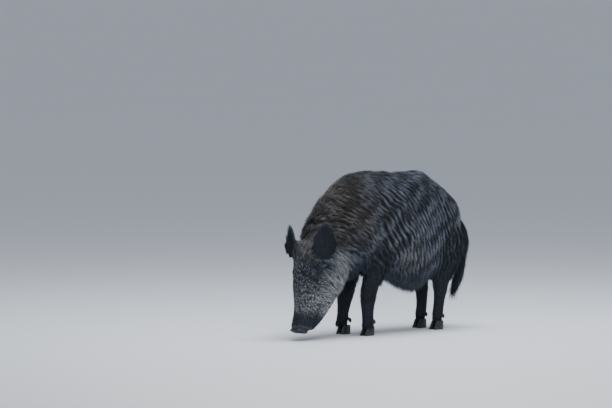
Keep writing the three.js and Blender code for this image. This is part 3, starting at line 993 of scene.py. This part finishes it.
def make_hooves(leg):
    """The two claws and two dewclaws of one foot, with rounded edges."""
    nodes = [name for name in HORN_NODES if f"_{leg}_" in name]
    bm = merged_nodes(nodes)
    bmesh.ops.dissolve_limit(bm, angle_limit=FLAT_ANGLE, verts=bm.verts, edges=bm.edges)
    sharp = [edge for edge in bm.edges if edge.is_manifold and edge.calc_face_angle() > SHARP_ANGLE]
    bmesh.ops.bevel(
        bm, geom=sharp, offset=HORN_ROUND, offset_type="OFFSET", segments=2, profile=0.5,
        affect="EDGES", clamp_overlap=True, material=-1,
    )
    bmesh.ops.triangulate(bm, faces=bm.faces)
    mesh = mesh_of(bm, f"hooves_{leg}")
    shade_smooth(mesh)
    piece = new_object(f"hooves_{leg}", mesh)
    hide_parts(*nodes)
    return piece


# ---- settings and operators

LEGS = [f"{end}_leg_{side}" for end in ("front", "hind") for side in SIDES]


def colour_setting(name, description, default):
    return FloatVectorProperty(
        name=name, description=description, subtype="COLOR", size=3, min=0, max=1, default=default,
    )


class BoarSizes(bpy.types.PropertyGroup):
    voxel: FloatProperty(
        name="Skin detail", description="Size of the skin's faces before it is shaped",
        default=0.0056, min=0.002, unit="LENGTH",
    )
    length_share: FloatProperty(
        name="Hair length", description="Length of every lock against its usual length",
        default=1.0, min=0.1, subtype="FACTOR",
    )
    streak_gap: FloatProperty(
        name="Streak gap", description="Distance between the streaks of the wet coat",
        default=0.032, min=0.005, unit="LENGTH",
    )
    locks: IntProperty(
        name="Locks", description="How many locks the whole coat has, about", default=144000, min=1000,
    )


class BoarLooks(bpy.types.PropertyGroup):
    root_colour: colour_setting("Root", "Hair at its root", (0.005, 0.006, 0.008))
    # Streak colour: paler wet hair tips with a painted reflection of the sky on them.
    tip_and_reflection_colour: colour_setting("Streak", "Wet hair tips on the flank", (0.44, 0.50, 0.61))
    mane_colour: colour_setting("Mane", "Hair tips on the neck", (0.30, 0.27, 0.25))
    face_colour: colour_setting("Face", "Grizzled hairs of cheek and muzzle", (0.80, 0.81, 0.83))
    leg_colour: colour_setting("Legs", "Hair of legs and ears", (0.006, 0.009, 0.014))
    # A painted sheen of sky light on the dark hair tips.
    sheen_colour: colour_setting("Leg sheen", "Hair tips of legs and ears", (0.062, 0.088, 0.125))
    hide_colour: colour_setting("Snout", "Bare hide of the snout", (0.010, 0.012, 0.015))
    eye_skin_colour: colour_setting("Eye skin", "Paler patches of the bare hide", (0.042, 0.047, 0.064))
    iris_colour: colour_setting("Iris", "Iris of the eye", (0.018, 0.009, 0.004))
    horn_colour: colour_setting("Horn", "Hooves and dewclaws", (0.016, 0.016, 0.018))


def coat_zones(coat):
    """Pieces of coat: name, share of all locks, where it grows, and how it differs."""
    w, points, normals = coat.weights, coat.points, coat.normals
    local = in_head(points)
    back, height = local[:, 1], points[:, 2]
    left = ramp(points[:, 0], -0.004, 0.004)
    above, lips = mouth_line(local)
    cover = (1 - ramp(coat.marks["bare"], 0.15, 0.75)) * (1 - 0.95 * lips * bell(above, 0.004))
    cheek = w["head"] * ramp(back, 0.13, 0.20) * cover
    muzzle = w["head"] * ramp(-back, -0.20, -0.13) * cover
    body = total(w, "trunk", "rump")
    rear = ramp(points[:, 1], 0.24, 0.28)
    belly = (w["trunk"] + 0.5 * w["neck"]) * ramp(-height, -0.36, -0.30)
    top = total(w, "neck", "trunk") * ramp(normals[:, 2] - 0.6 * normals[:, 1], 0.55, 0.85)
    tip = ramp(-height, -0.36, -0.30)
    return [
        ("coat_muzzle", 0.10, muzzle, {}),
        ("coat_cheeks", 0.11, cheek, {"stray": 0.16, "hang": 0.2}),
        ("coat_neck_left", 0.09, w["neck"] * left, {"stray": 0.12}),
        ("coat_neck_right", 0.08, w["neck"] * (1 - left), {"stray": 0.12}),
        ("coat_mane", 0.03, top, {"length": 1.05, "lift": 0.7, "stray": 0.10, "hang": 0.05}),
        ("coat_flank_left", 0.115, body * left * (1 - rear), {}),
        ("coat_flank_right", 0.095, body * (1 - left) * (1 - rear), {}),
        ("coat_rump", 0.12, body * rear, {}),
        ("coat_belly", 0.035, belly, {"length": 1.2, "hang": 0.55, "stray": 0.2}),
        ("coat_thighs", 0.075, w["upper"], {}),
        ("coat_shanks", 0.075, w["lower"] * ramp(height, 0.044, 0.048), {"stray": 0.14}),
        ("coat_coronets", 0.02, w["lower"] * ramp(height, 0.044, 0.047) * ramp(-height, -0.066, -0.058), {
            "length": 1.7, "lift": 1.3, "stray": 0.18,
        }),
        ("coat_ears", 0.045, w["ear"], {"stray": 0.18}),
        ("coat_tail", 0.022, w["tail"], {"stray": 0.24, "hang": 0.4}),
        ("coat_tail_tuft", 0.026, w["tuft"] * (0.5 + 0.5 * tip), {"stray": 0.20, "hang": 0.3, "lift": 1.4}),
    ]


class BOAR_OT_skin(bpy.types.Operator):
    """Make the one skin that covers the whole body"""

    bl_idname = "boar.skin"
    bl_label = "Skin"

    def execute(self, context):
        scene = context.scene
        piece = make_skin(scene.boar_sizes.voxel)
        piece.data.materials.clear()
        piece.data.materials.append(skin_finish(scene.boar_looks))
        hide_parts(*FLESH_NODES)
        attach(piece, "root")
        return {"FINISHED"}


class BOAR_OT_coat(bpy.types.Operator):
    """Grow the coat of solid locks from the skin"""

    bl_idname = "boar.coat"
    bl_label = "Coat"

    def execute(self, context):
        scene = context.scene
        sizes = scene.boar_sizes
        coat = Coat(bpy.data.objects["skin"], sizes.length_share, sizes.streak_gap)
        material = coat_finish(scene.boar_looks)
        rng = np.random.default_rng(2024)
        for name, share, density, change in coat_zones(coat):
            piece = make_locks(name, coat, density.clip(0), int(share * sizes.locks), rng, **change)
            piece.data.materials.append(material)
            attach(piece, "root")
        return {"FINISHED"}


class BOAR_OT_eyes(bpy.types.Operator):
    """Set the two eyeballs in their sockets"""

    bl_idname = "boar.eyes"
    bl_label = "Eyes"

    def execute(self, context):
        material = eye_finish(context.scene.boar_looks)
        for side in SIDES:
            piece = make_eye(side)
            piece.data.materials.append(material)
            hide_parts(f"eye_{side}")
            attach(piece, "root")
        return {"FINISHED"}


class BOAR_OT_hooves(bpy.types.Operator):
    """Finish the hooves and dewclaws of the four feet"""

    bl_idname = "boar.hooves"
    bl_label = "Hooves"

    def execute(self, context):
        material = horn_finish(context.scene.boar_looks)
        for leg in LEGS:
            piece = make_hooves(leg)
            piece.data.materials.append(material)
            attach(piece, "root")
        return {"FINISHED"}


CAMERA_AZIMUTH = math.radians(45)
CAMERA_ELEVATION = math.radians(3.5)
CAMERA_DISTANCE = 25.0
FRAME_WIDTH = 3.011
FRAME_SHIFT = (-0.2409, 0.643)
FLOOR_RADIUS = 80
FRONT_HOOVES = [name for name in NODES if name.startswith("hoof_front")]
FRONT_FEET = np.mean([middle(name) for name in FRONT_HOOVES], axis=0) * [1, 1, 0]


def add_light(name, place, aim, size, power, colour):
    data = bpy.data.lights.new(name, "AREA")
    data.shape, data.size, data.energy, data.color = "DISK", size, power, colour
    lamp = bpy.data.objects.new(name, data)
    lamp.location = place
    lamp.rotation_euler = (Vector(aim) - Vector(place)).to_track_quat("-Z", "Y").to_euler()
    bpy.context.collection.objects.link(lamp)


class BOAR_OT_stage(bpy.types.Operator):
    """Lay the floor and set the lights and the camera"""

    bl_idname = "boar.stage"
    bl_label = "Stage"

    def execute(self, context):
        bm = bmesh.new()
        bmesh.ops.create_circle(bm, cap_ends=True, segments=128, radius=FLOOR_RADIUS)
        mesh = mesh_of(bm, "floor")
        finish = Finish("Plain floor", Roughness=0.9)
        tone = finish.mix(finish.noise(0.5), (0.80, 0.81, 0.83), (0.82, 0.83, 0.85))
        mesh.materials.append(finish.drive(Base_Color=tone))
        new_object("floor", mesh)
        world = bpy.data.worlds.new("Pale room")
        world.use_nodes = True
        sky = world.node_tree.nodes["Background"].inputs
        sky["Color"].default_value = (0.80, 0.87, 1.0, 1)
        sky["Strength"].default_value = 0.5
        context.scene.world = world
        add_light("overhead", (0.3, 0.2, 4.2), (0, 0, 0.4), 3.0, 210, (0.90, 0.95, 1.0))
        add_light("front", (3.2, -3.0, 2.4), (0, -0.1, 0.4), 2.4, 60, (1.0, 0.97, 0.93))
        azimuth, elevation = CAMERA_AZIMUTH, CAMERA_ELEVATION
        right = np.array([math.cos(azimuth), math.sin(azimuth), 0])
        level = math.cos(elevation)
        ahead = np.array([-math.sin(azimuth) * level, math.cos(azimuth) * level, -math.sin(elevation)])
        above = np.cross(right, ahead)
        target = FRONT_FEET + right * FRAME_SHIFT[0] + above * FRAME_SHIFT[1]
        data = bpy.data.cameras.new("camera")
        data.sensor_width = 36
        data.lens = data.sensor_width * CAMERA_DISTANCE / FRAME_WIDTH
        data.clip_end = 500
        camera = bpy.data.objects.new("camera", data)
        camera.location = target - ahead * CAMERA_DISTANCE
        camera.rotation_euler = Vector(ahead).to_track_quat("-Z", "Y").to_euler()
        context.collection.objects.link(camera)
        context.scene.camera = camera
        return {"FINISHED"}


class BOAR_PT_panel(bpy.types.Panel):
    bl_idname = "BOAR_PT_panel"
    bl_label = "Wild Boar"
    bl_space_type = "VIEW_3D"
    bl_region_type = "UI"
    bl_category = "Boar"

    def draw(self, context):
        for group in (context.scene.boar_sizes, context.scene.boar_looks):
            for name in group.__annotations__:
                self.layout.prop(group, name)
        for operator in OPERATORS:
            self.layout.operator(operator.bl_idname)


OPERATORS = (BOAR_OT_skin, BOAR_OT_coat, BOAR_OT_eyes, BOAR_OT_hooves, BOAR_OT_stage)
CLASSES = (BoarSizes, BoarLooks, *OPERATORS, BOAR_PT_panel)


def register():
    for one in CLASSES:
        bpy.utils.register_class(one)
    bpy.types.Scene.boar_sizes = PointerProperty(type=BoarSizes)
    bpy.types.Scene.boar_looks = PointerProperty(type=BoarLooks)


def unregister():
    del bpy.types.Scene.boar_looks
    del bpy.types.Scene.boar_sizes
    for one in reversed(CLASSES):
        bpy.utils.unregister_class(one)


def main():
    register()
    bpy.ops.boar.skin()
    bpy.ops.boar.coat()
    bpy.ops.boar.eyes()
    bpy.ops.boar.hooves()
    bpy.ops.boar.stage()


if __name__ == "__main__":
    main()
